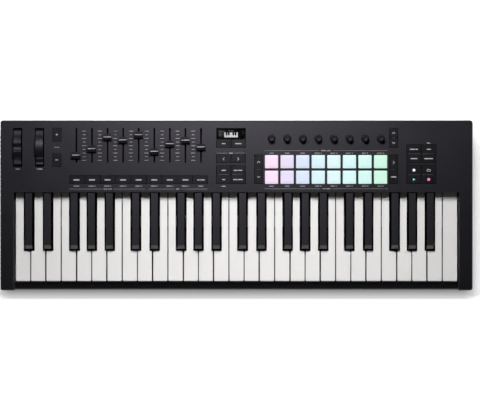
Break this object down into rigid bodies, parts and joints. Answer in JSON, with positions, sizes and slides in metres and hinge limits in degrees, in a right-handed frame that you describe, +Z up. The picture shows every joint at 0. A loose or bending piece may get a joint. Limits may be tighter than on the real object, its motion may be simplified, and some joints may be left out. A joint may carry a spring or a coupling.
{
  "type": "midi keyboard",
  "caption": "Desktop keyboard controller: a flat black case with piano keys, faders, knobs, lit pads, wheels, buttons and a small display.",
  "frame": {"origin": "centre of the footprint, on the table under the feet", "axes": "+X to the player's right along the keys, +Y from the player to the rear panel, +Z up"},
  "size_m": [0.728, 0.262, 0.0773],
  "materials": {
    "case_plastic": "fine grained, satin",
    "base_plastic": "grained, matt",
    "foot_rubber": "matt",
    "screw_steel": "black oxide",
    "chassis_plastic": "moulded",
    "spring_steel": "rolled",
    "stop_felt": "felt",
    "board": "solder mask",
    "contact_silicone": "silicone",
    "component_plastic": "moulded",
    "display": "gloss",
    "lens": "gloss",
    "socket_steel": "plated",
    "wheel_rubber": "soft touch",
    "pad_silicone": "translucent silicone, lit from below",
    "white_key": "polished",
    "black_key": "satin",
    "cap_plastic": "satin",
    "button_rubber": "matt silicone"
  },
  "bodies": {
    "case": {"top_case": "case_plastic", "bottom_case": "base_plastic", "rubber_feet": "foot_rubber", "case_screws": "screw_steel", "keybed_chassis": "chassis_plastic", "key_return_springs": "spring_steel", "key_stop_felts": "stop_felt", "key_contact_board": "board", "key_contact_strips": "contact_silicone", "control_board": "board", "fader_tracks": "component_plastic", "encoder_bodies": "component_plastic", "wheel_bracket": "chassis_plastic", "display_module": "display", "display_lens": "lens", "midi_socket": "component_plastic", "pedal_socket": "component_plastic", "usb_socket": "socket_steel"},
    "keys_c": {"keys_c": "white_key"},
    "keys_c_sharp": {"keys_c_sharp": "black_key"},
    "keys_d": {"keys_d": "white_key"},
    "keys_d_sharp": {"keys_d_sharp": "black_key"},
    "keys_e": {"keys_e": "white_key"},
    "keys_f": {"keys_f": "white_key"},
    "keys_f_sharp": {"keys_f_sharp": "black_key"},
    "keys_g": {"keys_g": "white_key"},
    "keys_g_sharp": {"keys_g_sharp": "black_key"},
    "keys_a": {"keys_a": "white_key"},
    "keys_a_sharp": {"keys_a_sharp": "black_key"},
    "keys_b": {"keys_b": "white_key"},
    "fader_1": {"fader_1": "cap_plastic"},
    "fader_2": {"fader_2": "cap_plastic"},
    "fader_3": {"fader_3": "cap_plastic"},
    "fader_4": {"fader_4": "cap_plastic"},
    "fader_5": {"fader_5": "cap_plastic"},
    "fader_6": {"fader_6": "cap_plastic"},
    "fader_7": {"fader_7": "cap_plastic"},
    "fader_8": {"fader_8": "cap_plastic"},
    "fader_9": {"fader_9": "cap_plastic"},
    "knob_1": {"knob_1": "cap_plastic"},
    "knob_2": {"knob_2": "cap_plastic"},
    "knob_3": {"knob_3": "cap_plastic"},
    "knob_4": {"knob_4": "cap_plastic"},
    "knob_5": {"knob_5": "cap_plastic"},
    "knob_6": {"knob_6": "cap_plastic"},
    "knob_7": {"knob_7": "cap_plastic"},
    "knob_8": {"knob_8": "cap_plastic"},
    "pitch_wheel": {"pitch_wheel": "wheel_rubber"},
    "mod_wheel": {"mod_wheel": "wheel_rubber"},
    "pads": {"pads": "pad_silicone"},
    "octave_buttons": {"octave_buttons": "button_rubber"},
    "fader_buttons": {"fader_buttons": "button_rubber"},
    "screen_buttons": {"screen_buttons": "button_rubber"},
    "track_buttons": {"track_buttons": "button_rubber"},
    "mode_buttons": {"mode_buttons": "button_rubber"},
    "bank_buttons": {"bank_buttons": "button_rubber"},
    "page_buttons": {"page_buttons": "button_rubber"},
    "scene_buttons": {"scene_buttons": "button_rubber"},
    "workflow_buttons": {"workflow_buttons": "button_rubber"},
    "transport_buttons": {"transport_buttons": "button_rubber"}
  },
  "joints": [
    {"name": "keys_c_pivot", "type": "hinge", "parent": "case", "child": "keys_c", "pos_m": [0, 0.038, 0.04], "axis": [1, 0, 0], "range_deg": [0, 3.69], "stiffness_Nm_per_rad": 2, "springref_deg": -14.32},
    {"name": "keys_c_sharp_pivot", "type": "hinge", "parent": "case", "child": "keys_c_sharp", "pos_m": [0, 0.038, 0.04], "axis": [1, 0, 0], "range_deg": [0, 3.69], "stiffness_Nm_per_rad": 2, "springref_deg": -14.32},
    {"name": "pitch_wheel_roll", "type": "hinge", "parent": "case", "child": "pitch_wheel", "pos_m": [-0.3373, 0.0894, 0.0425], "axis": [1, 0, 0], "range_deg": [-36, 36], "stiffness_Nm_per_rad": 0.15},
    {"name": "mod_wheel_roll", "type": "hinge", "parent": "case", "child": "mod_wheel", "pos_m": [-0.3034, 0.0894, 0.0425], "axis": [1, 0, 0], "range_deg": [-72, 0]},
    {"name": "fader_1_slide", "type": "slide", "parent": "case", "child": "fader_1", "axis": [0, 1, 0], "range_m": [-0.0072, 0.0378]},
    {"name": "knob_1_turn", "type": "hinge", "parent": "case", "child": "knob_1", "pos_m": [0.054, 0.1032, 0.064], "axis": [0, 0, 1], "continuous": true},
    {"name": "pads_press", "type": "slide", "parent": "case", "child": "pads", "axis": [0, 0, -1], "range_m": [0, 0.0008], "stiffness_N_per_m": 4000, "springref_m": -0.001},
    {"name": "octave_buttons_press", "type": "slide", "parent": "case", "child": "octave_buttons", "axis": [0, 0, -1], "range_m": [0, 0.0007], "stiffness_N_per_m": 1000, "springref_m": -0.001},
    {"name": "fader_buttons_press", "type": "slide", "parent": "case", "child": "fader_buttons", "axis": [0, 0, -1], "range_m": [0, 0.0007], "stiffness_N_per_m": 1000, "springref_m": -0.001},
    {"name": "screen_buttons_press", "type": "slide", "parent": "case", "child": "screen_buttons", "axis": [0, 0, -1], "range_m": [0, 0.0007], "stiffness_N_per_m": 1000, "springref_m": -0.001},
    {"name": "track_buttons_press", "type": "slide", "parent": "case", "child": "track_buttons", "axis": [0, 0, -1], "range_m": [0, 0.0007], "stiffness_N_per_m": 1000, "springref_m": -0.001},
    {"name": "mode_buttons_press", "type": "slide", "parent": "case", "child": "mode_buttons", "axis": [0, 0, -1], "range_m": [0, 0.0007], "stiffness_N_per_m": 1000, "springref_m": -0.001},
    {"name": "bank_buttons_press", "type": "slide", "parent": "case", "child": "bank_buttons", "axis": [0, 0, -1], "range_m": [0, 0.0007], "stiffness_N_per_m": 1000, "springref_m": -0.001},
    {"name": "page_buttons_press", "type": "slide", "parent": "case", "child": "page_buttons", "axis": [0, 0, -1], "range_m": [0, 0.0007], "stiffness_N_per_m": 1000, "springref_m": -0.001},
    {"name": "scene_buttons_press", "type": "slide", "parent": "case", "child": "scene_buttons", "axis": [0, 0, -1], "range_m": [0, 0.0007], "stiffness_N_per_m": 1000, "springref_m": -0.001},
    {"name": "workflow_buttons_press", "type": "slide", "parent": "case", "child": "workflow_buttons", "axis": [0, 0, -1], "range_m": [0, 0.0007], "stiffness_N_per_m": 1000, "springref_m": -0.001},
    {"name": "transport_buttons_press", "type": "slide", "parent": "case", "child": "transport_buttons", "axis": [0, 0, -1], "range_m": [0, 0.0007], "stiffness_N_per_m": 1000, "springref_m": -0.001},
    {"name": "fader_2_slide", "type": "slide", "parent": "case", "child": "fader_2", "axis": [0, 1, 0], "range_m": [-0.0171, 0.0279]},
    {"name": "fader_3_slide", "type": "slide", "parent": "case", "child": "fader_3", "axis": [0, 1, 0], "range_m": [-0.0351, 0.0099]},
    {"name": "fader_4_slide", "type": "slide", "parent": "case", "child": "fader_4", "axis": [0, 1, 0], "range_m": [-0.0306, 0.0144]},
    {"name": "fader_5_slide", "type": "slide", "parent": "case", "child": "fader_5", "axis": [0, 1, 0], "range_m": [-0.0387, 0.0063]},
    {"name": "fader_6_slide", "type": "slide", "parent": "case", "child": "fader_6", "axis": [0, 1, 0], "range_m": [-0.01305, 0.03195]},
    {"name": "fader_7_slide", "type": "slide", "parent": "case", "child": "fader_7", "axis": [0, 1, 0], "range_m": [-0.02475, 0.02025]},
    {"name": "fader_8_slide", "type": "slide", "parent": "case", "child": "fader_8", "axis": [0, 1, 0], "range_m": [-0.03015, 0.01485]},
    {"name": "fader_9_slide", "type": "slide", "parent": "case", "child": "fader_9", "axis": [0, 1, 0], "range_m": [-0.0198, 0.0252]},
    {"name": "keys_d_pivot", "type": "hinge", "parent": "case", "child": "keys_d", "pos_m": [0, 0.038, 0.04], "axis": [1, 0, 0], "range_deg": [0, 3.69], "stiffness_Nm_per_rad": 2, "springref_deg": -14.32},
    {"name": "keys_d_sharp_pivot", "type": "hinge", "parent": "case", "child": "keys_d_sharp", "pos_m": [0, 0.038, 0.04], "axis": [1, 0, 0], "range_deg": [0, 3.69], "stiffness_Nm_per_rad": 2, "springref_deg": -14.32},
    {"name": "keys_e_pivot", "type": "hinge", "parent": "case", "child": "keys_e", "pos_m": [0, 0.038, 0.04], "axis": [1, 0, 0], "range_deg": [0, 3.69], "stiffness_Nm_per_rad": 2, "springref_deg": -14.32},
    {"name": "keys_f_pivot", "type": "hinge", "parent": "case", "child": "keys_f", "pos_m": [0, 0.038, 0.04], "axis": [1, 0, 0], "range_deg": [0, 3.69], "stiffness_Nm_per_rad": 2, "springref_deg": -14.32},
    {"name": "keys_f_sharp_pivot", "type": "hinge", "parent": "case", "child": "keys_f_sharp", "pos_m": [0, 0.038, 0.04], "axis": [1, 0, 0], "range_deg": [0, 3.69], "stiffness_Nm_per_rad": 2, "springref_deg": -14.32},
    {"name": "keys_g_pivot", "type": "hinge", "parent": "case", "child": "keys_g", "pos_m": [0, 0.038, 0.04], "axis": [1, 0, 0], "range_deg": [0, 3.69], "stiffness_Nm_per_rad": 2, "springref_deg": -14.32},
    {"name": "keys_g_sharp_pivot", "type": "hinge", "parent": "case", "child": "keys_g_sharp", "pos_m": [0, 0.038, 0.04], "axis": [1, 0, 0], "range_deg": [0, 3.69], "stiffness_Nm_per_rad": 2, "springref_deg": -14.32},
    {"name": "keys_a_pivot", "type": "hinge", "parent": "case", "child": "keys_a", "pos_m": [0, 0.038, 0.04], "axis": [1, 0, 0], "range_deg": [0, 3.69], "stiffness_Nm_per_rad": 2, "springref_deg": -14.32},
    {"name": "keys_a_sharp_pivot", "type": "hinge", "parent": "case", "child": "keys_a_sharp", "pos_m": [0, 0.038, 0.04], "axis": [1, 0, 0], "range_deg": [0, 3.69], "stiffness_Nm_per_rad": 2, "springref_deg": -14.32},
    {"name": "keys_b_pivot", "type": "hinge", "parent": "case", "child": "keys_b", "pos_m": [0, 0.038, 0.04], "axis": [1, 0, 0], "range_deg": [0, 3.69], "stiffness_Nm_per_rad": 2, "springref_deg": -14.32},
    {"name": "knob_2_turn", "type": "hinge", "parent": "case", "child": "knob_2", "pos_m": [0.078, 0.1032, 0.064], "axis": [0, 0, 1], "continuous": true},
    {"name": "knob_3_turn", "type": "hinge", "parent": "case", "child": "knob_3", "pos_m": [0.102, 0.1032, 0.064], "axis": [0, 0, 1], "continuous": true},
    {"name": "knob_4_turn", "type": "hinge", "parent": "case", "child": "knob_4", "pos_m": [0.126, 0.1032, 0.064], "axis": [0, 0, 1], "continuous": true},
    {"name": "knob_5_turn", "type": "hinge", "parent": "case", "child": "knob_5", "pos_m": [0.15, 0.1032, 0.064], "axis": [0, 0, 1], "continuous": true},
    {"name": "knob_6_turn", "type": "hinge", "parent": "case", "child": "knob_6", "pos_m": [0.174, 0.1032, 0.064], "axis": [0, 0, 1], "continuous": true},
    {"name": "knob_7_turn", "type": "hinge", "parent": "case", "child": "knob_7", "pos_m": [0.198, 0.1032, 0.064], "axis": [0, 0, 1], "continuous": true},
    {"name": "knob_8_turn", "type": "hinge", "parent": "case", "child": "knob_8", "pos_m": [0.222, 0.1032, 0.064], "axis": [0, 0, 1], "continuous": true}
  ]
}
